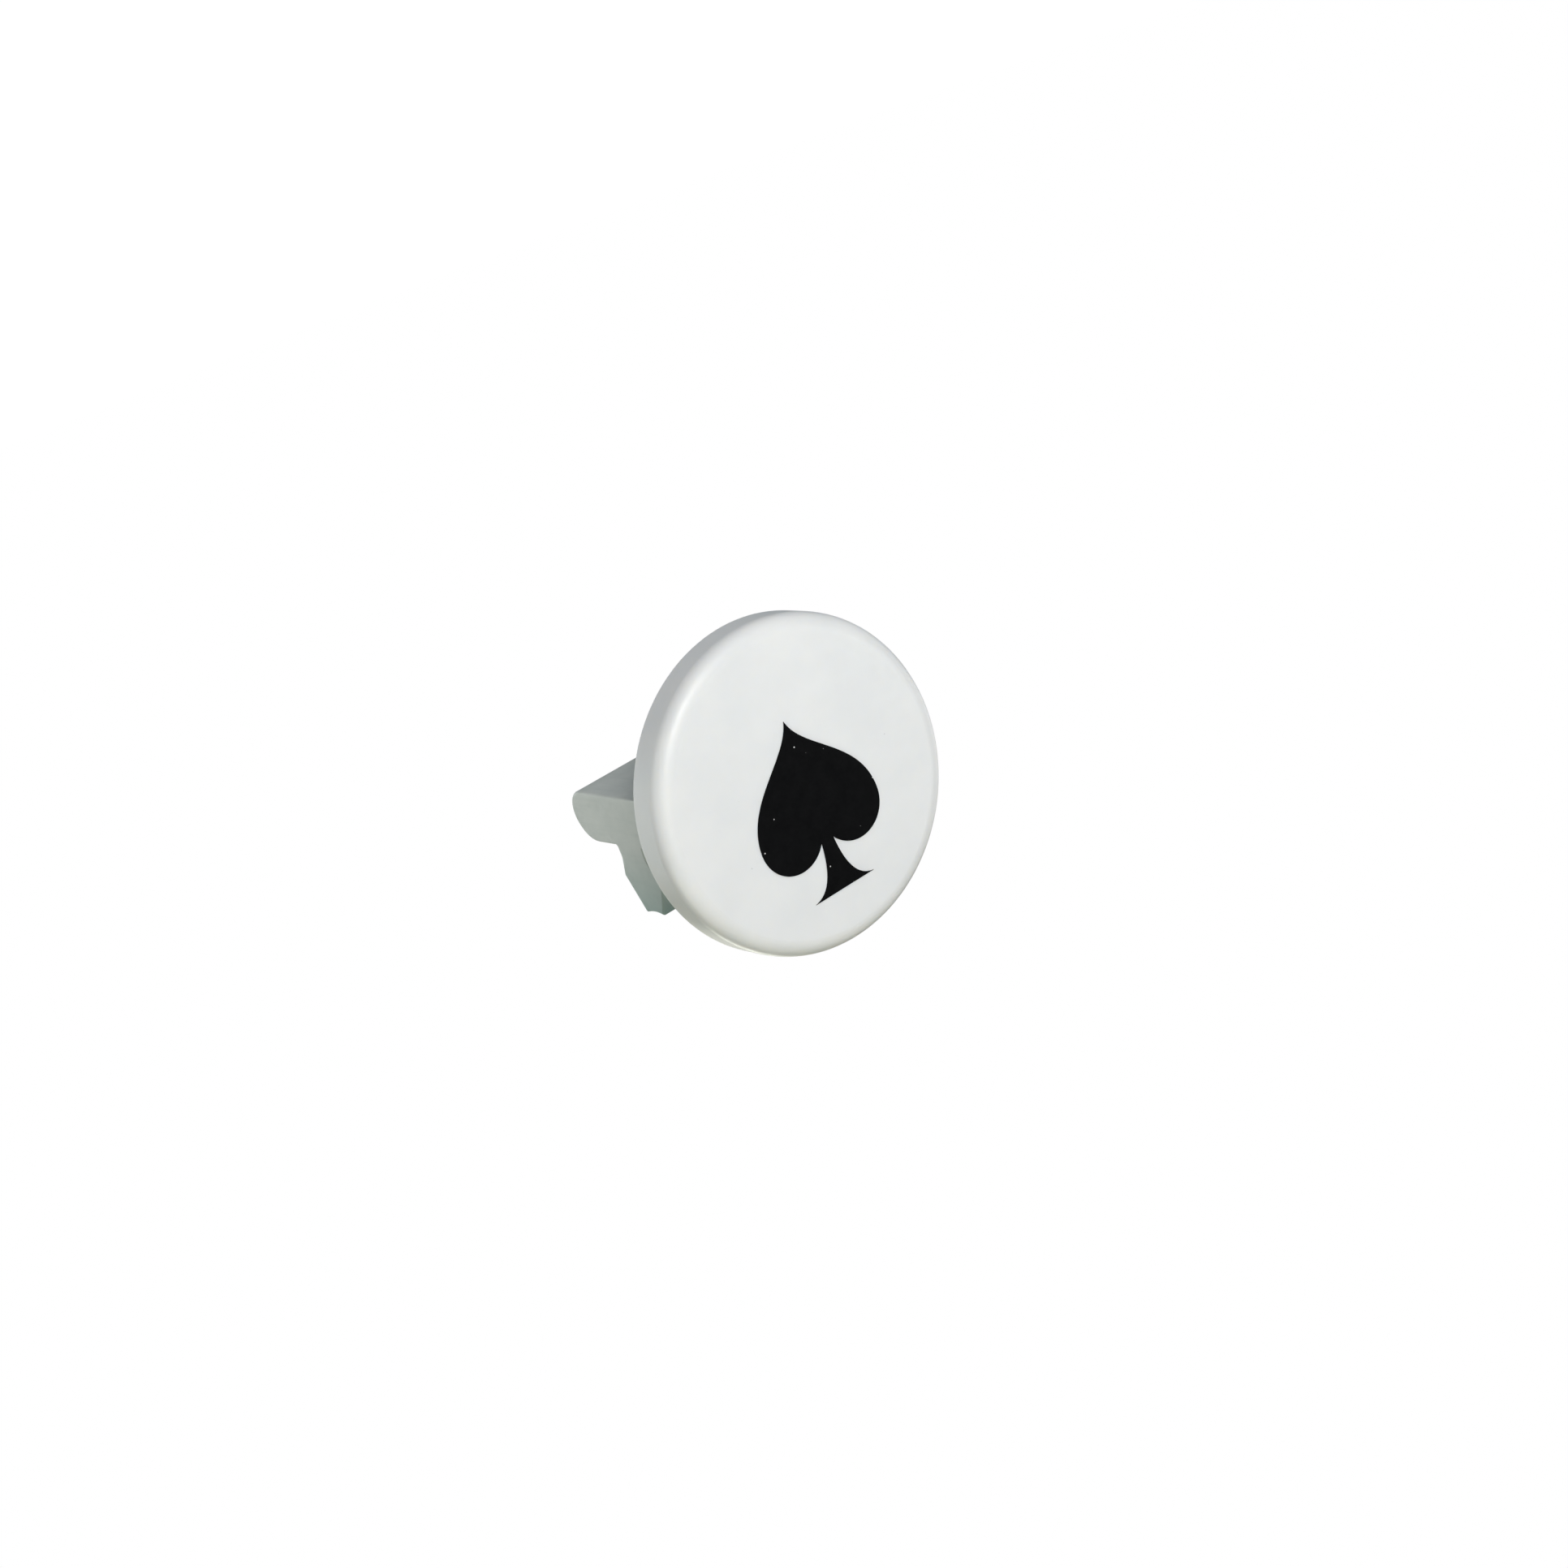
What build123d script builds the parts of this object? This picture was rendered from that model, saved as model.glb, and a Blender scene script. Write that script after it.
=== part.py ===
"""Round white marker cap on a snap-in arm, in millimetres.

+X is to the right as the face is read, +Y points back from the face, +Z is up.
The origin is the middle of the snap plug's neck, on the arm's flat underside, which is
the plane that rests on the panel the plug snaps into.
"""
import os
from math import cos, radians, sin

from build123d import *

# Cap
CAP_DIAMETER = 50.0
CAP_THICKNESS = 6.9
CAP_FRONT_RADIUS = 2.5
CAP_REAR_RADIUS = 0.25
FACE_WALL = 1.9
RIM_WALL = 1.8
INNER_CORNER_RADIUS = 0.7
STIFFENER_RADIUS = 14.0
STIFFENER_WALL = 1.0
STIFFENER_HEIGHT = 1.1
REST_RIB_COUNT = 12
REST_RIB_SIZE = 1.2

# Mark on the face
MARK_THICKNESS = 0.1
MARK_HALF_WIDTH = 11.0
MARK_TOP = 13.6
MARK_BOTTOM = -13.2
MARK_SHIFT_Z = -3.35
MARK_FOOT_HALF_WIDTH = 5.6
LOBE_RADIUS = 5.4
LOBE_CENTRE_Z = -2.4
LOBE_END_ANGLE = 214.0
# Control points that pull the spade's curves: out of its tip, into its widest point,
# down its stem and along its foot
TIP_PULL = (1.45, 8.3)
SHOULDER_PULL_Z = 5.6
STEM_PULL = (0.3, -9.9)
FOOT_PULL = (2.7, -12.8)

# Rear plate
PLATE_THICKNESS = 2.2
PLATE_CLEARANCE = 0.1
PLATE_EDGE_RADIUS = 0.3
SOCKET_DEPTH = 0.8
SOCKET_CLEARANCE = 0.1
EJECTOR_MARK_RADIUS = 1.5
EJECTOR_MARK_DEPTH = 0.12
EJECTOR_MARK_CIRCLE = 14.0
EJECTOR_MARK_ANGLES = (60.0, 120.0, 240.0, 300.0)

# Arm
ARM_WIDTH = 33.0
ARM_THICKNESS = 8.6
ARM_REACH = 33.7
ARM_WALL = 1.8
ARM_EDGE_RADIUS = 0.4
ARM_RIB = 1.6
NOSE_SOLID = 5.0
GATE_DIMPLE_RADIUS = 1.3
GATE_DIMPLE_DEPTH = 0.4
GATE_STUB_RADIUS = 0.5
GATE_STUB_HEIGHT = 0.2

# Snap plug under the arm
PLUG_SETBACK = 20.5
NECK_HALF_DEPTH = 3.6
NECK_HEIGHT = 2.0
REAR_BARB = (4.8, 5.1)
FRONT_BARB = (5.4, 6.1)
PLUG_LENGTH = 11.4
TIP_HALF_DEPTH = 2.4
TIP_ARCH_RISE = 0.35
PLUG_ROOT_RADIUS = 0.35
PLUG_CORNER_RADIUS = 0.5
PLUG_TIP_RADIUS = 0.25
PLUG_SLOT_WIDTH = 1.6
PLUG_SLOT_ROOF = 2.4
PLUG_END_WALL = 2.0

# Screws: three hold the plate to the cap, two hold the arm to the plate
PLATE_SCREW_CIRCLE = 19.4
PLATE_SCREW_ANGLES = (30.0, 150.0, 270.0)
PLATE_SCREW_RADIUS = 1.0
PLATE_SCREW_LENGTH = 5.0
PLATE_SCREW_HEAD_RADIUS = 2.3
PLATE_SCREW_HEAD_HEIGHT = 1.3
PLATE_SCREW_HOLE_RADIUS = 1.35
CAP_BOSS_RADIUS = 2.6
ARM_SCREW_SPACING = 18.0
ARM_SCREW_RADIUS = 1.25
ARM_SCREW_LENGTH = 11.0
ARM_SCREW_HEAD_RADIUS = 2.8
ARM_SCREW_HEAD_HEIGHT = 1.8
ARM_SCREW_HEAD_ROUNDING = 0.81
ARM_SCREW_HOLE_RADIUS = 1.7
ARM_BOSS_WIDTH = 6.4
ARM_BOSS_LENGTH = 13.0
THREAD_CLEARANCE = 0.02
SCREW_TIP_CHAMFER = 0.4
PILOT_EXTRA_DEPTH = 0.6
RECESS_WIDTH = 0.55
RECESS_SPAN = 2.42
RECESS_DEPTH = 0.9

# How far a boss, rib or plug runs into the wall it stands on, and a cut runs past the face it opens
WALL_OVERLAP = 0.5
CUT_PAST = 1.0
# How near to a plane or a size an edge or corner is when it is picked out by it
NEAR = 0.01

# Worked out from the dimensions above
CAP_RADIUS = CAP_DIAMETER / 2
CAVITY_RADIUS = CAP_RADIUS - RIM_WALL
CAVITY_DEPTH = CAP_THICKNESS - FACE_WALL
PLATE_RADIUS = CAVITY_RADIUS - PLATE_CLEARANCE
REAR_Y = -PLUG_SETBACK
ARM_CENTRE_Z = ARM_THICKNESS / 2
NOSE_RADIUS = ARM_THICKNESS / 2
NOSE_Y = REAR_Y + ARM_REACH
ARM_FRONT_Y = REAR_Y - SOCKET_DEPTH

# The cap's own frame: x to the right, y up, z forwards from the cap's rear rim.
CAP_FRAME = Plane(origin=(0, REAR_Y, ARM_CENTRE_Z), x_dir=(1, 0, 0), z_dir=(0, -1, 0))
# The middle of the arm's nose: z forwards into the arm.
NOSE_FRAME = Plane(origin=(0, NOSE_Y, ARM_CENTRE_Z), x_dir=(1, 0, 0), z_dir=(0, -1, 0))
# The arm's side profile: x is +Y (back), y is +Z (up), extruded to both sides along X.
SIDE_FRAME = Plane(origin=(0, 0, 0), x_dir=(0, 1, 0), z_dir=(1, 0, 0))


def disc(radius, start, end):
    """A plain disc about z, from one height to another."""
    return Pos(0, 0, start) * Cylinder(radius, end - start, align=(Align.CENTER, Align.CENTER, Align.MIN))


def around(radius, angles):
    """Places on a circle in the cap's frame, each turned to face outwards."""
    return [Rot(0, 0, angle) * Pos(radius, 0, 0) for angle in angles]


def circle_edges(shape, depth, radius):
    """The round edges of a shape at one depth that have one radius."""
    edges = shape.edges().filter_by(GeomType.CIRCLE)
    return edges.filter_by(lambda e: abs(e.center().Z - depth) < NEAR and abs(e.radius - radius) < NEAR)


def plate_screw_places():
    return around(PLATE_SCREW_CIRCLE, PLATE_SCREW_ANGLES)


def arm_screw_places():
    return [Pos(side * ARM_SCREW_SPACING / 2, 0, 0) for side in (-1, 1)]


def face_cap():
    """Hollow moulded cap with bosses for the plate screws and ribs that the plate rests on."""
    cap = disc(CAP_RADIUS, 0, CAP_THICKNESS)
    cap = fillet(circle_edges(cap, CAP_THICKNESS, CAP_RADIUS), CAP_FRONT_RADIUS)
    cap = fillet(circle_edges(cap, 0, CAP_RADIUS), CAP_REAR_RADIUS)
    cavity = disc(CAVITY_RADIUS, -CUT_PAST, CAVITY_DEPTH)
    cavity = fillet(circle_edges(cavity, CAVITY_DEPTH, CAVITY_RADIUS), INNER_CORNER_RADIUS)
    cap -= cavity
    inside_wall = CAVITY_DEPTH + WALL_OVERLAP
    ring_start = CAVITY_DEPTH - STIFFENER_HEIGHT
    ring = disc(STIFFENER_RADIUS + STIFFENER_WALL / 2, ring_start, inside_wall)
    ring -= disc(STIFFENER_RADIUS - STIFFENER_WALL / 2, ring_start - CUT_PAST, inside_wall + CUT_PAST)
    cap += ring
    rib_height = inside_wall - PLATE_THICKNESS
    rib = Box(2 * REST_RIB_SIZE, REST_RIB_SIZE, rib_height, align=(Align.CENTER, Align.CENTER, Align.MIN))
    spacing = 360 / REST_RIB_COUNT
    for place in around(CAVITY_RADIUS, [spacing * (i + 0.5) for i in range(REST_RIB_COUNT)]):
        cap += place * Pos(0, 0, PLATE_THICKNESS) * rib
    for place in plate_screw_places():
        cap += place * disc(CAP_BOSS_RADIUS, PLATE_THICKNESS, inside_wall)
    for place in plate_screw_places():
        cap -= place * disc(PLATE_SCREW_RADIUS + THREAD_CLEARANCE, 0, PLATE_SCREW_LENGTH + PILOT_EXTRA_DEPTH)
    return CAP_FRAME * cap


def spade_outline():
    """The closed outline of the spade, about its own centre."""
    lobe_x = MARK_HALF_WIDTH - LOBE_RADIUS
    end = radians(LOBE_END_ANGLE)
    middle = radians((LOBE_END_ANGLE - 360) / 2)
    tip = (0, MARK_TOP)
    widest = (MARK_HALF_WIDTH, LOBE_CENTRE_Z)
    lowest = (lobe_x + LOBE_RADIUS * cos(middle), LOBE_CENTRE_Z + LOBE_RADIUS * sin(middle))
    stem = (lobe_x + LOBE_RADIUS * cos(end), LOBE_CENTRE_Z + LOBE_RADIUS * sin(end))
    foot = (MARK_FOOT_HALF_WIDTH, MARK_BOTTOM)
    shoulder = Bezier(tip, TIP_PULL, (MARK_HALF_WIDTH, SHOULDER_PULL_Z), widest)
    lobe = ThreePointArc(widest, lowest, stem)
    flare = Bezier(stem, (stem[0] + STEM_PULL[0], STEM_PULL[1]), FOOT_PULL, foot)
    half = Curve() + [shoulder, lobe, flare]
    base = Line(foot, (-foot[0], foot[1]))
    return half + base + mirror(half, Plane.YZ)


def face_mark():
    """The thin black spade that is printed on the cap's face."""
    outline = make_face(spade_outline())
    mark = extrude(outline, MARK_THICKNESS)
    return CAP_FRAME * Pos(0, MARK_SHIFT_Z, CAP_THICKNESS) * mark


def rear_plate():
    """Round plate that closes the cap, with a shallow socket for the arm's end."""
    plate = disc(PLATE_RADIUS, 0, PLATE_THICKNESS)
    plate = fillet(circle_edges(plate, 0, PLATE_RADIUS), PLATE_EDGE_RADIUS)
    gap = 2 * SOCKET_CLEARANCE
    socket = Box(ARM_WIDTH + gap, ARM_THICKNESS + gap, 2 * SOCKET_DEPTH)
    plate -= fillet(socket.edges().filter_by(Axis.Z), ARM_EDGE_RADIUS)
    for place in arm_screw_places():
        plate -= place * disc(ARM_SCREW_HOLE_RADIUS, -CUT_PAST, PLATE_THICKNESS + CUT_PAST)
    sink_radius = PLATE_SCREW_HEAD_RADIUS + THREAD_CLEARANCE
    for place in plate_screw_places():
        plate -= place * disc(PLATE_SCREW_HOLE_RADIUS, -CUT_PAST, PLATE_THICKNESS + CUT_PAST)
        plate -= place * countersunk_cone(sink_radius)
    for place in around(EJECTOR_MARK_CIRCLE, EJECTOR_MARK_ANGLES):
        plate -= place * disc(EJECTOR_MARK_RADIUS, -CUT_PAST, EJECTOR_MARK_DEPTH)
    return CAP_FRAME * plate


def countersunk_cone(radius):
    """A cone that narrows forwards from the plate's rear face to the screw's shank."""
    low = (Align.CENTER, Align.CENTER, Align.MIN)
    return Cone(radius, PLATE_SCREW_RADIUS, PLATE_SCREW_HEAD_HEIGHT, align=low)


def arm_profile():
    """Side view of the arm: a long bar with a full-round nose at the back."""
    straight = NOSE_Y - NOSE_RADIUS
    low_front = (ARM_FRONT_Y, 0)
    top_front = (ARM_FRONT_Y, ARM_THICKNESS)
    outline = Curve() + Line(low_front, top_front)
    outline += Line(top_front, (straight, ARM_THICKNESS))
    outline += ThreePointArc((straight, ARM_THICKNESS), (NOSE_Y, ARM_CENTRE_Z), (straight, 0))
    outline += Line((straight, 0), low_front)
    return make_face(outline)


def plug_profile():
    """Side view of the plug: a neck, a barb on each side and a taper to an arched tip."""
    rear_tip = (TIP_HALF_DEPTH, -PLUG_LENGTH)
    front_tip = (-TIP_HALF_DEPTH, -PLUG_LENGTH)
    sides = Polyline(
        front_tip,
        (-FRONT_BARB[0], -FRONT_BARB[1]),
        (-NECK_HALF_DEPTH, -NECK_HEIGHT),
        (-NECK_HALF_DEPTH, WALL_OVERLAP),
        (NECK_HALF_DEPTH, WALL_OVERLAP),
        (NECK_HALF_DEPTH, -NECK_HEIGHT),
        (REAR_BARB[0], -REAR_BARB[1]),
        rear_tip,
    )
    arch = ThreePointArc(rear_tip, (0, -PLUG_LENGTH + TIP_ARCH_RISE), front_tip)
    face = make_face(Curve() + sides + arch)
    corners = face.vertices().filter_by(lambda v: -PLUG_LENGTH + NEAR < v.Y < 0)
    face = fillet(corners, PLUG_CORNER_RADIUS)
    tips = face.vertices().filter_by(lambda v: v.Y < -PLUG_LENGTH + NEAR)
    return fillet(tips, PLUG_TIP_RADIUS)


def arm_cores():
    """The hollow inside the arm, open to the plate: three bays between two screw bosses."""
    length = ARM_REACH + SOCKET_DEPTH - NOSE_SOLID
    height = ARM_THICKNESS - 2 * ARM_WALL
    width = ARM_WIDTH - 2 * ARM_WALL
    front = (Align.CENTER, Align.MIN, Align.CENTER)
    core = Box(width, length, height, align=front)
    for place in arm_screw_places():
        core -= place * Box(ARM_RIB, length, height, align=front)
        core -= place * Box(ARM_BOSS_WIDTH, ARM_BOSS_LENGTH, height, align=front)
    return Pos(0, ARM_FRONT_Y, ARM_CENTRE_Z) * core


def plug_slots():
    """The slot up the middle of the plug, open at its tip, with one rib across it."""
    bay = (ARM_WIDTH - 2 * PLUG_END_WALL - ARM_RIB) / 2
    height = PLUG_LENGTH - PLUG_SLOT_ROOF + CUT_PAST
    slots = []
    for side in (-1, 1):
        slot = Box(bay, PLUG_SLOT_WIDTH, height, align=(Align.CENTER, Align.CENTER, Align.MAX))
        slots.append(Pos(side * (bay + ARM_RIB) / 2, 0, -PLUG_SLOT_ROOF) * slot)
    return slots


def gate_mark():
    """What the moulding gate takes from the nose: a dimple, less the short stub that stands in it."""
    stub_start = GATE_DIMPLE_DEPTH - GATE_STUB_HEIGHT
    mark = disc(GATE_DIMPLE_RADIUS, -CUT_PAST, GATE_DIMPLE_DEPTH)
    mark -= disc(GATE_STUB_RADIUS, stub_start, GATE_DIMPLE_DEPTH + CUT_PAST)
    return NOSE_FRAME * mark


def arm_bracket():
    """One moulding: the arm, its nose and the snap plug."""
    arm = extrude(SIDE_FRAME * arm_profile(), ARM_WIDTH / 2, both=True)
    arm += extrude(SIDE_FRAME * plug_profile(), ARM_WIDTH / 2, both=True)
    seat_corners = arm.edges().filter_by(Axis.X)
    seat_corners = seat_corners.filter_by(
        lambda e: abs(e.center().Z) < NEAR and abs(abs(e.center().Y) - NECK_HALF_DEPTH) < NEAR
    )
    arm = fillet(seat_corners, PLUG_ROOT_RADIUS)
    side_edges = arm.edges().filter_by(lambda e: abs(abs(e.center().X) - ARM_WIDTH / 2) < NEAR)
    side_edges = side_edges.filter_by(lambda e: e.center().Y > ARM_FRONT_Y + NEAR)
    arm = fillet(side_edges, ARM_EDGE_RADIUS)
    arm -= arm_cores()
    for slot in plug_slots():
        arm -= slot
    arm -= gate_mark()
    pilot_depth = ARM_SCREW_LENGTH - PLATE_THICKNESS + SOCKET_DEPTH + PILOT_EXTRA_DEPTH
    for place in arm_screw_places():
        pilot = disc(ARM_SCREW_RADIUS + THREAD_CLEARANCE, SOCKET_DEPTH - pilot_depth, SOCKET_DEPTH + CUT_PAST)
        arm -= CAP_FRAME * place * pilot
    return arm


def cross_recess():
    """The cross-shaped driver recess, centred on a screw's axis and sunk forwards from z = 0."""
    bar = Box(RECESS_SPAN, RECESS_WIDTH, 2 * RECESS_DEPTH)
    return bar + Rot(0, 0, 90) * bar


def screw(head, head_height, shank_radius, length):
    """A self-tapping screw along z: its head starts at z = 0 and its shank ends at the length."""
    shank = disc(shank_radius, head_height / 2, length)
    shank = chamfer(circle_edges(shank, length, shank_radius), SCREW_TIP_CHAMFER)
    return head + shank - cross_recess()


def plate_screws():
    """Three countersunk screws, from behind, into the cap's bosses."""
    head = countersunk_cone(PLATE_SCREW_HEAD_RADIUS)
    one = screw(head, PLATE_SCREW_HEAD_HEIGHT, PLATE_SCREW_RADIUS, PLATE_SCREW_LENGTH)
    return Compound([CAP_FRAME * place * one for place in plate_screw_places()])


def arm_screws():
    """Two pan-head screws, from inside the cap, back through the plate into the arm."""
    head = disc(ARM_SCREW_HEAD_RADIUS, 0, ARM_SCREW_HEAD_HEIGHT)
    head = fillet(circle_edges(head, 0, ARM_SCREW_HEAD_RADIUS), ARM_SCREW_HEAD_ROUNDING)
    length = ARM_SCREW_HEAD_HEIGHT + ARM_SCREW_LENGTH
    one = screw(head, ARM_SCREW_HEAD_HEIGHT, ARM_SCREW_RADIUS, length)
    backwards = Pos(0, 0, PLATE_THICKNESS + ARM_SCREW_HEAD_HEIGHT) * Rot(180, 0, 0)
    return Compound([CAP_FRAME * place * backwards * one for place in arm_screw_places()])


NODES = {
    "face_cap": face_cap,
    "face_mark": face_mark,
    "rear_plate": rear_plate,
    "arm_bracket": arm_bracket,
    "arm_screws": arm_screws,
    "plate_screws": plate_screws,
}

os.makedirs("parts", exist_ok=True)
for name, make in NODES.items():
    export_step(make(), f"parts/{name}.step")
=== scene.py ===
"""Looks of the dealer button: a white marker cap with a printed spade, on a grey-green snap-in arm.

Everything is in metres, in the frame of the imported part: the cap faces -Y and the plug points down.
"""
from math import cos, radians, sin

import bpy
from mathutils import Matrix, Vector

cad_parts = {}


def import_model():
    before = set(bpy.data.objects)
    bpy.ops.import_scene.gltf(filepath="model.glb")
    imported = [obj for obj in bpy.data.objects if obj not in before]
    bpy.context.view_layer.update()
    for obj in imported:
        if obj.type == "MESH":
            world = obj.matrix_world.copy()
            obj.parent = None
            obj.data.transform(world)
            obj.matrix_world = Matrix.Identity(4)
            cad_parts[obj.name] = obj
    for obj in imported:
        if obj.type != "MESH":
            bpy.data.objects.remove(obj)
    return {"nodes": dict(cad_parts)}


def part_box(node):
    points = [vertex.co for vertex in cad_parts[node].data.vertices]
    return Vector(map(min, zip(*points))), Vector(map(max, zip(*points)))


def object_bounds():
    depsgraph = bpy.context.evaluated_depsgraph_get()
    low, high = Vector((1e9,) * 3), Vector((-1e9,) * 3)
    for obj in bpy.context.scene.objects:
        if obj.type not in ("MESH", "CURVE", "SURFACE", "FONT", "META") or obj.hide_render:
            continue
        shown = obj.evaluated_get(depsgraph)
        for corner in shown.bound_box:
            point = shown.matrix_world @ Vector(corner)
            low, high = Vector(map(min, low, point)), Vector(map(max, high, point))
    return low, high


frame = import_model()
cad_low, cad_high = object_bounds()

MM = 0.001

# Where the camera stands, seen from the middle of the cap's face, and how it is held
VIEW_AZIMUTH = radians(-30.5)
VIEW_ELEVATION = radians(18.1)
VIEW_ROLL = radians(-20.5)
VIEW_DISTANCE = 0.4
# Focal length, in millimetres
VIEW_LENS = 64.0
# How far beside and above the middle of the face the camera aims
VIEW_AIM_RIGHT = -3.3 * MM
VIEW_AIM_UP = 0.25 * MM

# How far the floor lies under the part, and how far it runs out
FLOOR_DROP = 0.5
FLOOR_RADIUS = 6.0
FLOOR_SIDES = 96

# How far the lights stand from the middle of the cap's face
LIGHT_DISTANCE = 0.6

# What the camera can see, near to far
CLIP_NEAR = 0.01
CLIP_FAR = 50.0

# Sharpness of the edge of a speck: the share of its radius that is solid
SPECK_CORE = 0.6

scene = bpy.context.scene


# ---------------------------------------------------------------- node helpers

def new_material(name):
    """A new material with only a Principled shader in its tree; returns (material, tree, shader)."""
    material = bpy.data.materials.new(name)
    material.use_nodes = True
    tree = material.node_tree
    shader = tree.nodes["Principled BSDF"]
    return material, tree, shader


def object_point(tree):
    """The point being shaded, in metres, in the piece's own space."""
    return tree.nodes.new("ShaderNodeTexCoord").outputs["Object"]


def noise(tree, point, size, detail=2.0, roughness=0.5):
    """Noise whose features are about `size` metres across; returns its Factor socket."""
    node = tree.nodes.new("ShaderNodeTexNoise")
    node.inputs["Scale"].default_value = 1.0 / size
    node.inputs["Detail"].default_value = detail
    node.inputs["Roughness"].default_value = roughness
    tree.links.new(point, node.inputs["Vector"])
    return node.outputs["Fac"]


def stretched(tree, point, scale):
    """The point with each axis scaled, so a pattern is drawn out along an axis whose scale is small."""
    node = tree.nodes.new("ShaderNodeMapping")
    node.inputs["Scale"].default_value = scale
    tree.links.new(point, node.inputs["Vector"])
    return node.outputs["Vector"]


def axis_value(tree, point, axis):
    """One coordinate of the point, in metres."""
    node = tree.nodes.new("ShaderNodeSeparateXYZ")
    tree.links.new(point, node.inputs["Vector"])
    return node.outputs[axis]


def distance_from_cap_axis(tree, point):
    """How far the point is from the cap's middle axis, in metres."""
    offset = tree.nodes.new("ShaderNodeVectorMath")
    offset.operation = "SUBTRACT"
    offset.inputs[1].default_value = face_centre
    tree.links.new(point, offset.inputs[0])
    flat = tree.nodes.new("ShaderNodeVectorMath")
    flat.operation = "MULTIPLY"
    flat.inputs[1].default_value = (1.0, 0.0, 1.0)
    tree.links.new(offset.outputs["Vector"], flat.inputs[0])
    length = tree.nodes.new("ShaderNodeVectorMath")
    length.operation = "LENGTH"
    tree.links.new(flat.outputs["Vector"], length.inputs[0])
    return length.outputs["Value"]


def combined(tree, operation, first, second):
    """Two factors put together by a maths operation, each a number or a socket."""
    node = tree.nodes.new("ShaderNodeMath")
    node.operation = operation
    for socket, value in zip(node.inputs, (first, second)):
        if isinstance(value, float):
            socket.default_value = value
        else:
            tree.links.new(value, socket)
    return node.outputs["Value"]


def ramp(tree, factor, low, high, out_low=0.0, out_high=1.0):
    """Maps a factor from one range to another, clamped."""
    node = tree.nodes.new("ShaderNodeMapRange")
    node.inputs["From Min"].default_value = low
    node.inputs["From Max"].default_value = high
    node.inputs["To Min"].default_value = out_low
    node.inputs["To Max"].default_value = out_high
    tree.links.new(factor, node.inputs["Value"])
    return node.outputs["Result"]


def mix_colour(tree, factor, first, second):
    """Mixes two colours, each a plain (r, g, b) or a socket."""
    node = tree.nodes.new("ShaderNodeMix")
    node.data_type = "RGBA"
    tree.links.new(factor, node.inputs["Factor"])
    for socket, value in ((node.inputs["A"], first), (node.inputs["B"], second)):
        if isinstance(value, tuple):
            socket.default_value = (*value, 1.0)
        else:
            tree.links.new(value, socket)
    return node.outputs["Result"]


def mix_shader(tree, factor, first, second):
    """The first shader where the factor is 0, and the second where it is 1."""
    node = tree.nodes.new("ShaderNodeMixShader")
    tree.links.new(factor, node.inputs["Fac"])
    tree.links.new(first, node.inputs[1])
    tree.links.new(second, node.inputs[2])
    return node.outputs["Shader"]


def bump(tree, height, distance, normal=None):
    """A normal bent by a height of up to `distance` metres, on top of another normal if one is given."""
    node = tree.nodes.new("ShaderNodeBump")
    node.inputs["Distance"].default_value = distance
    node.inputs["Strength"].default_value = 1.0
    tree.links.new(height, node.inputs["Height"])
    if normal is not None:
        tree.links.new(normal, node.inputs["Normal"])
    return node.outputs["Normal"]


def specks(tree, point, spacing, radius, share):
    """Small round specks in space: 1 inside a speck. A `share` of the cells of size `spacing` hold one."""
    cells = tree.nodes.new("ShaderNodeTexVoronoi")
    cells.inputs["Scale"].default_value = 1.0 / spacing
    tree.links.new(point, cells.inputs["Vector"])
    near = ramp(tree, cells.outputs["Distance"], radius / spacing, SPECK_CORE * radius / spacing)
    channels = tree.nodes.new("ShaderNodeSeparateColor")
    tree.links.new(cells.outputs["Color"], channels.inputs["Color"])
    chosen = combined(tree, "LESS_THAN", channels.outputs["Red"], share)
    return combined(tree, "MULTIPLY", near, chosen)


# ---------------------------------------------------------------- materials

# How far in from its edge the warm tint is painted on the cap's lower rim, and the height under which shade
# is painted on the plug
RIM_WIDTH = 3 * MM
PAINTED_SHADE_TOP = 0.0


def cap_white():
    """Satin white moulding: faint mottling, a warm tint painted on the rim low down for light reflected up
    from below, and a little dust.
    """
    material, tree, shader = new_material("cap_white")
    point = object_point(tree)
    mottle = ramp(tree, noise(tree, point, 9 * MM, 3.0), 0.35, 0.65)
    colour = mix_colour(tree, mottle, (0.795, 0.81, 0.81), (0.83, 0.84, 0.832))
    radius = distance_from_cap_axis(tree, point)
    rim = ramp(tree, radius, cap_radius - RIM_WIDTH, cap_radius, 0.0, 0.55)
    low = ramp(tree, axis_value(tree, point, "Z"), face_centre.z, cap_low.z)
    # Painted warm light: the rim is tinted yellow low down, standing in for warm light reflected up from
    # below.
    painted_warm_bounce = combined(tree, "MULTIPLY", rim, low)
    colour = mix_colour(tree, painted_warm_bounce, colour, (0.80, 0.79, 0.66))
    dust = specks(tree, point, 1.9 * MM, 0.12 * MM, 0.10)
    faint_dust = combined(tree, "MULTIPLY", dust, 0.7)
    colour = mix_colour(tree, faint_dust, colour, (0.42, 0.43, 0.42))
    tree.links.new(colour, shader.inputs["Base Color"])
    gloss = ramp(tree, noise(tree, point, 1.3 * MM, 4.0), 0.3, 0.7, 0.38, 0.48)
    tree.links.new(gloss, shader.inputs["Roughness"])
    skin = bump(tree, noise(tree, point, 0.22 * MM, 3.0), 0.006 * MM)
    wave = bump(tree, noise(tree, point, 6 * MM, 1.0), 0.04 * MM, skin)
    tree.links.new(wave, shader.inputs["Normal"])
    shader.inputs["Subsurface Weight"].default_value = 0.35
    shader.inputs["Subsurface Radius"].default_value = (1.0, 0.9, 0.75)
    shader.inputs["Subsurface Scale"].default_value = 1.6 * MM
    return material


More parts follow.
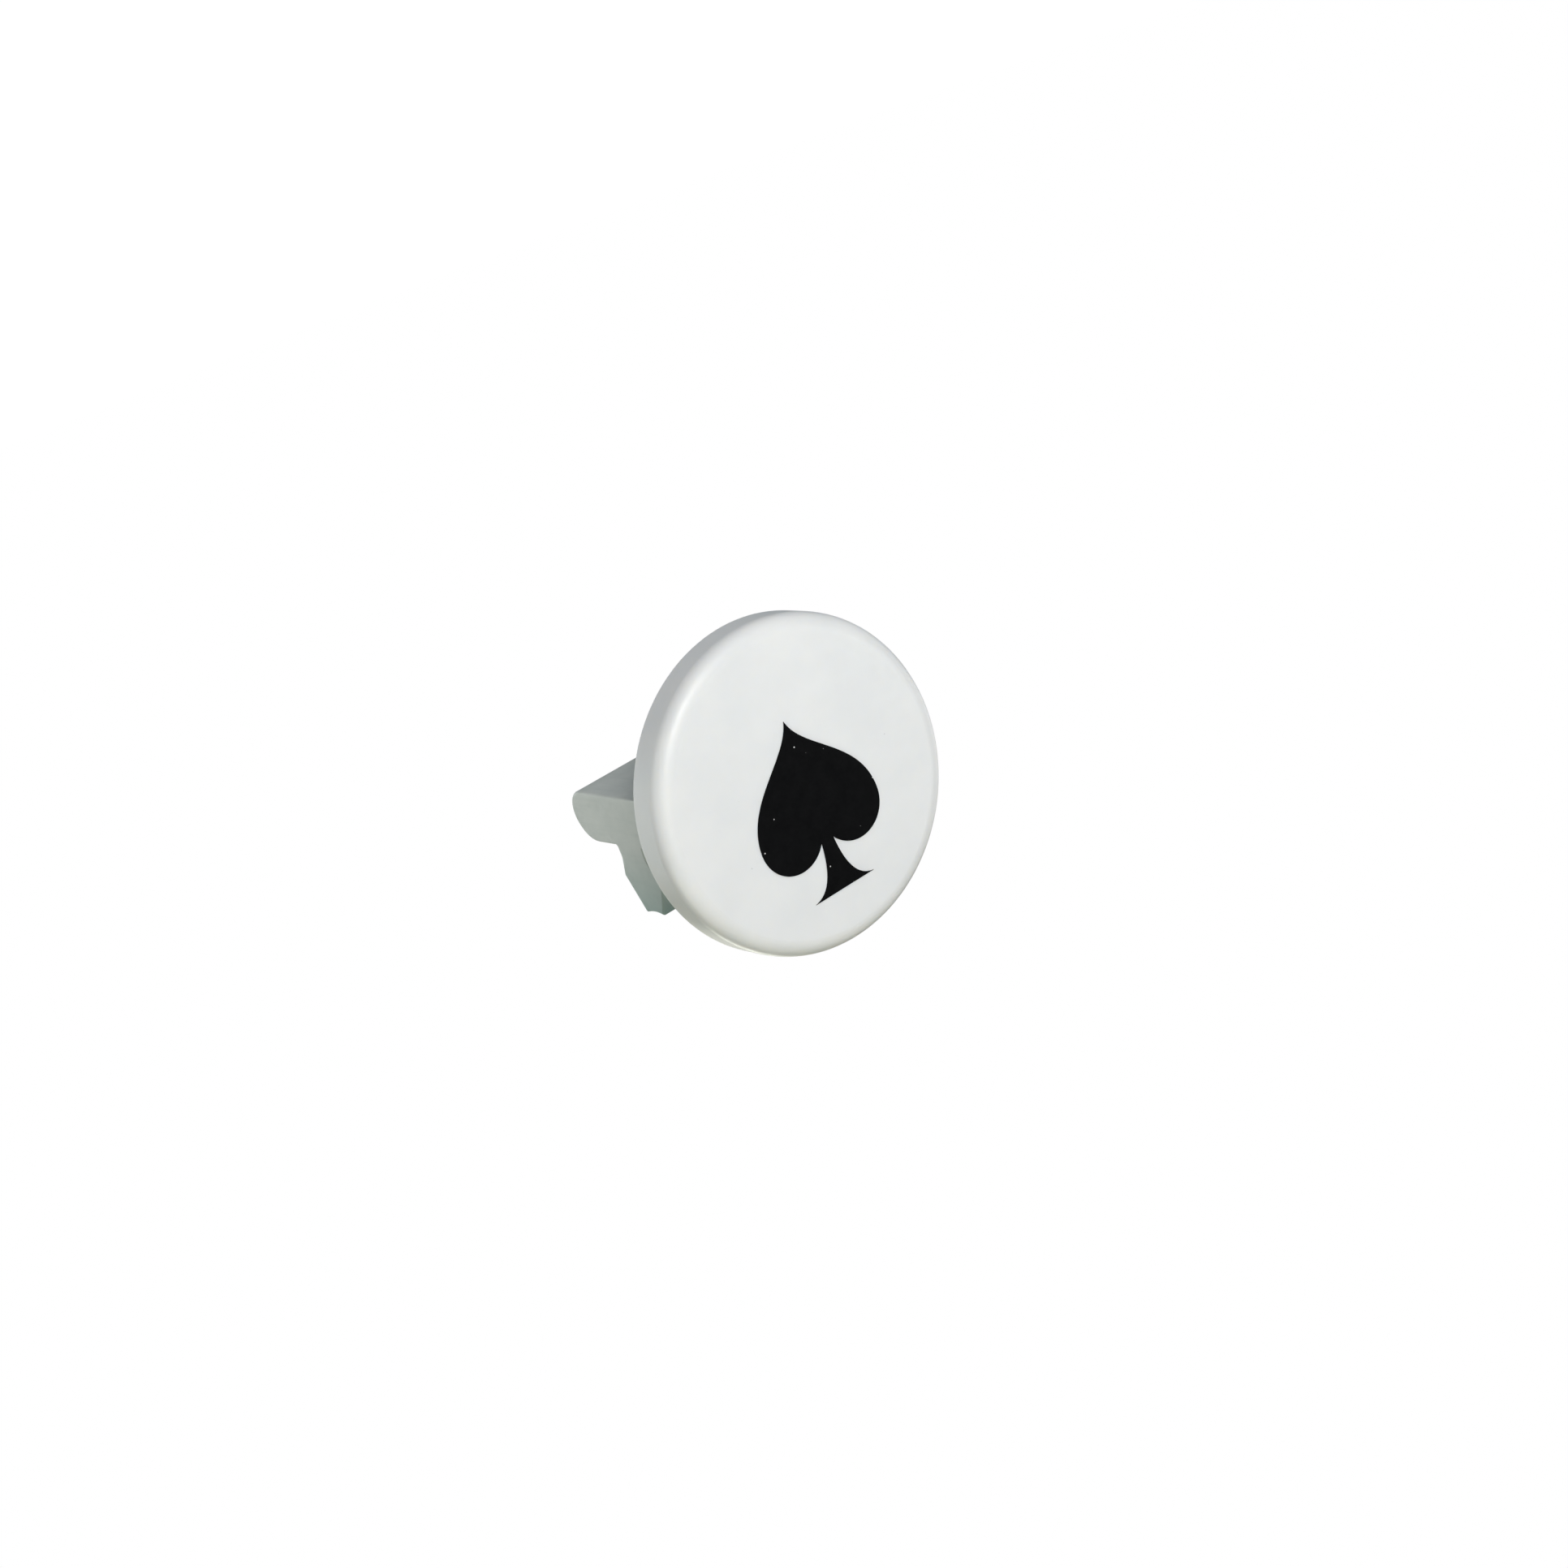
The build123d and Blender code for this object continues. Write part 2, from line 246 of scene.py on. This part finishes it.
def plate_white():
    """The rear plate: the same white plastic with a coarser matt texture."""
    material, tree, shader = new_material("plate_white")
    point = object_point(tree)
    mottle = ramp(tree, noise(tree, point, 7 * MM, 3.0), 0.35, 0.65)
    colour = mix_colour(tree, mottle, (0.74, 0.755, 0.75), (0.79, 0.795, 0.785))
    tree.links.new(colour, shader.inputs["Base Color"])
    gloss = ramp(tree, noise(tree, point, 0.8 * MM, 3.0), 0.3, 0.7, 0.5, 0.62)
    tree.links.new(gloss, shader.inputs["Roughness"])
    skin = bump(tree, noise(tree, point, 0.3 * MM, 3.0), 0.02 * MM)
    tree.links.new(skin, shader.inputs["Normal"])
    return material


def mark_black():
    """Flat black ink, uneven in tone, with pinholes where the white shows through."""
    material, tree, shader = new_material("mark_black")
    point = object_point(tree)
    tone = ramp(tree, noise(tree, point, 2 * MM, 3.0), 0.3, 0.7)
    colour = mix_colour(tree, tone, (0.0012, 0.0012, 0.0014), (0.0028, 0.0028, 0.003))
    holes = specks(tree, point, 1.5 * MM, 0.13 * MM, 0.28)
    colour = mix_colour(tree, holes, colour, (0.72, 0.72, 0.72))
    tree.links.new(colour, shader.inputs["Base Color"])
    shader.inputs["Specular IOR Level"].default_value = 0.06
    gloss = ramp(tree, noise(tree, point, 0.6 * MM, 3.0), 0.3, 0.7, 0.55, 0.68)
    tree.links.new(gloss, shader.inputs["Roughness"])
    skin = bump(tree, noise(tree, point, 0.25 * MM, 3.0), 0.006 * MM)
    tree.links.new(skin, shader.inputs["Normal"])
    return material


def arm_nylon():
    """Grey-green nylon: cloudy tone, flow streaks along the arm, and shade painted on the plug, darker and
    greener towards its tip.
    """
    material, tree, shader = new_material("arm_nylon")
    point = object_point(tree)
    cloud = ramp(tree, noise(tree, point, 5 * MM, 4.0), 0.3, 0.7)
    colour = mix_colour(tree, cloud, (0.61, 0.645, 0.61), (0.67, 0.70, 0.66))
    flow = noise(tree, stretched(tree, point, (1.0, 0.12, 1.0)), 1.1 * MM, 3.0)
    streaks = ramp(tree, flow, 0.48, 0.72, 0.0, 0.4)
    colour = mix_colour(tree, streaks, colour, (0.55, 0.60, 0.565))
    # Painted shade: the plug is made darker and greener towards its tip, where less light falls.
    painted_plug_shade = ramp(tree, axis_value(tree, point, "Z"), PAINTED_SHADE_TOP, arm_low.z, 0.0, 0.8)
    colour = mix_colour(tree, painted_plug_shade, colour, (0.28, 0.42, 0.385))
    tree.links.new(colour, shader.inputs["Base Color"])
    gloss = ramp(tree, noise(tree, point, 1.1 * MM, 4.0), 0.3, 0.7, 0.42, 0.55)
    tree.links.new(gloss, shader.inputs["Roughness"])
    skin = bump(tree, noise(tree, point, 0.28 * MM, 3.0), 0.010 * MM)
    drag = bump(tree, flow, 0.02 * MM, skin)
    tree.links.new(drag, shader.inputs["Normal"])
    return material


def screw_steel():
    """Zinc-plated steel."""
    material, tree, shader = new_material("screw_steel")
    point = object_point(tree)
    tone = ramp(tree, noise(tree, point, 0.7 * MM, 4.0), 0.3, 0.7)
    colour = mix_colour(tree, tone, (0.44, 0.45, 0.47), (0.58, 0.58, 0.59))
    tree.links.new(colour, shader.inputs["Base Color"])
    shader.inputs["Metallic"].default_value = 1.0
    gloss = ramp(tree, noise(tree, point, 0.25 * MM, 3.0), 0.3, 0.7, 0.46, 0.58)
    tree.links.new(gloss, shader.inputs["Roughness"])
    return material


def dress(node, material):
    """Puts one material on the whole of a node, in place of any it had."""
    mesh = frame["nodes"][node].data
    mesh.materials.clear()
    mesh.materials.append(material)


# ---------------------------------------------------------------- stage, lights, camera

def floor():
    """A wide pale floor: white to the camera, a weak bounce for the part, and clear from below."""
    material, tree, shader = new_material("floor_white")
    point = object_point(tree)
    tone = ramp(tree, noise(tree, point, 0.4, 2.0), 0.3, 0.7)
    colour = mix_colour(tree, tone, (0.22, 0.22, 0.22), (0.25, 0.25, 0.25))
    tree.links.new(colour, shader.inputs["Base Color"])
    shader.inputs["Roughness"].default_value = 0.9
    seen = tree.nodes.new("ShaderNodeEmission")
    path = tree.nodes.new("ShaderNodeLightPath")
    is_seen = path.outputs["Is Camera Ray"]
    above = mix_shader(tree, is_seen, shader.outputs["BSDF"], seen.outputs["Emission"])
    clear = tree.nodes.new("ShaderNodeBsdfTransparent")
    side = tree.nodes.new("ShaderNodeNewGeometry")
    both = mix_shader(tree, side.outputs["Backfacing"], above, clear.outputs["BSDF"])
    tree.links.new(both, tree.nodes["Material Output"].inputs["Surface"])
    bpy.ops.mesh.primitive_circle_add(
        vertices=FLOOR_SIDES, radius=FLOOR_RADIUS, fill_type="NGON",
        location=(0, 0, cad_low.z - FLOOR_DROP),
    )
    obj = bpy.context.object
    obj.name = "floor"
    obj.data.materials.append(material)


def direction(azimuth, elevation):
    """The unit vector towards a place seen from the part, with azimuth 0 in front of the face."""
    return Vector((sin(azimuth) * cos(elevation), -cos(azimuth) * cos(elevation), sin(elevation)))


def soft_light(name, azimuth, elevation, size, power, colour=(1.0, 1.0, 1.0)):
    """A round soft light that faces the part. Angles are in degrees, size in metres and power in watts."""
    light = bpy.data.lights.new(name, "AREA")
    light.shape = "DISK"
    light.size = size
    light.energy = power
    light.color = colour
    obj = bpy.data.objects.new(name, light)
    obj.visible_camera = False
    scene.collection.objects.link(obj)
    towards = direction(radians(azimuth), radians(elevation))
    obj.location = face_centre + towards * LIGHT_DISTANCE
    obj.rotation_mode = "QUATERNION"
    obj.rotation_quaternion = towards.to_track_quat("Z", "Y")


def world(strength, mirrored, mirrored_colour, seen):
    """An even room: how much it lights, how bright and in what colour it mirrors, and how bright it looks."""
    room = bpy.data.worlds.new("room")
    room.use_nodes = True
    tree = room.node_tree
    background = tree.nodes["Background"]
    path = tree.nodes.new("ShaderNodeLightPath")
    colour = mix_colour(tree, path.outputs["Is Glossy Ray"], (1.0, 1.0, 1.0), mirrored_colour)
    tree.links.new(colour, background.inputs["Color"])
    level = ramp(tree, path.outputs["Is Glossy Ray"], 0.0, 1.0, strength, mirrored)
    shown = ramp(tree, path.outputs["Is Camera Ray"], 0.0, 1.0, 0.0, seen)
    tree.links.new(combined(tree, "ADD", level, shown), background.inputs["Strength"])
    scene.world = room


def camera():
    """The camera, at the left front and a little above, rolled clockwise."""
    back = direction(VIEW_AZIMUTH, VIEW_ELEVATION)
    level = Vector((cos(VIEW_AZIMUTH), sin(VIEW_AZIMUTH), 0))
    rise = back.cross(level)
    right = level * cos(VIEW_ROLL) + rise * sin(VIEW_ROLL)
    up = back.cross(right)
    place = face_centre + back * VIEW_DISTANCE
    target = face_centre + right * VIEW_AIM_RIGHT + up * VIEW_AIM_UP
    back = (place - target).normalized()
    right = up.cross(back).normalized()
    up = back.cross(right)
    data = bpy.data.cameras.new("camera")
    data.lens = VIEW_LENS
    data.clip_start = CLIP_NEAR
    data.clip_end = CLIP_FAR
    obj = bpy.data.objects.new("camera", data)
    scene.collection.objects.link(obj)
    turn = Matrix((right, up, back)).transposed().to_4x4()
    obj.matrix_world = Matrix.Translation(place) @ turn
    scene.camera = obj


cap_low, cap_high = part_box("face_cap")
face_centre = Vector(((cap_low.x + cap_high.x) / 2, cap_low.y, (cap_low.z + cap_high.z) / 2))
cap_radius = (cap_high.x - cap_low.x) / 2
arm_low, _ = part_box("arm_bracket")

steel = screw_steel()
dress("face_cap", cap_white())
dress("face_mark", mark_black())
dress("rear_plate", plate_white())
dress("arm_bracket", arm_nylon())
dress("arm_screws", steel)
dress("plate_screws", steel)

floor()
soft_light("key", -16, 35, 0.25, 2.9)
soft_light("right_front", 35, -10, 0.15, 0.8, (0.95, 0.98, 1.0))
soft_light("low_front", -18, -6, 0.18, 0.28, (1.0, 0.96, 0.85))
soft_light("low_left", -80, -35, 0.30, 0.85, (0.96, 1.0, 0.86))
soft_light("back_left", 193, -6, 0.40, 1.38, (0.94, 1.0, 0.99))
soft_light("right", 98, -24, 0.35, 0.8)
soft_light("low_back", 180, -50, 0.25, 0.95, (1.0, 1.0, 0.93))
world(strength=0.02, mirrored=0.55, mirrored_colour=(0.80, 0.94, 1.06), seen=1.0)
camera()
scene.view_settings.view_transform = "Standard"
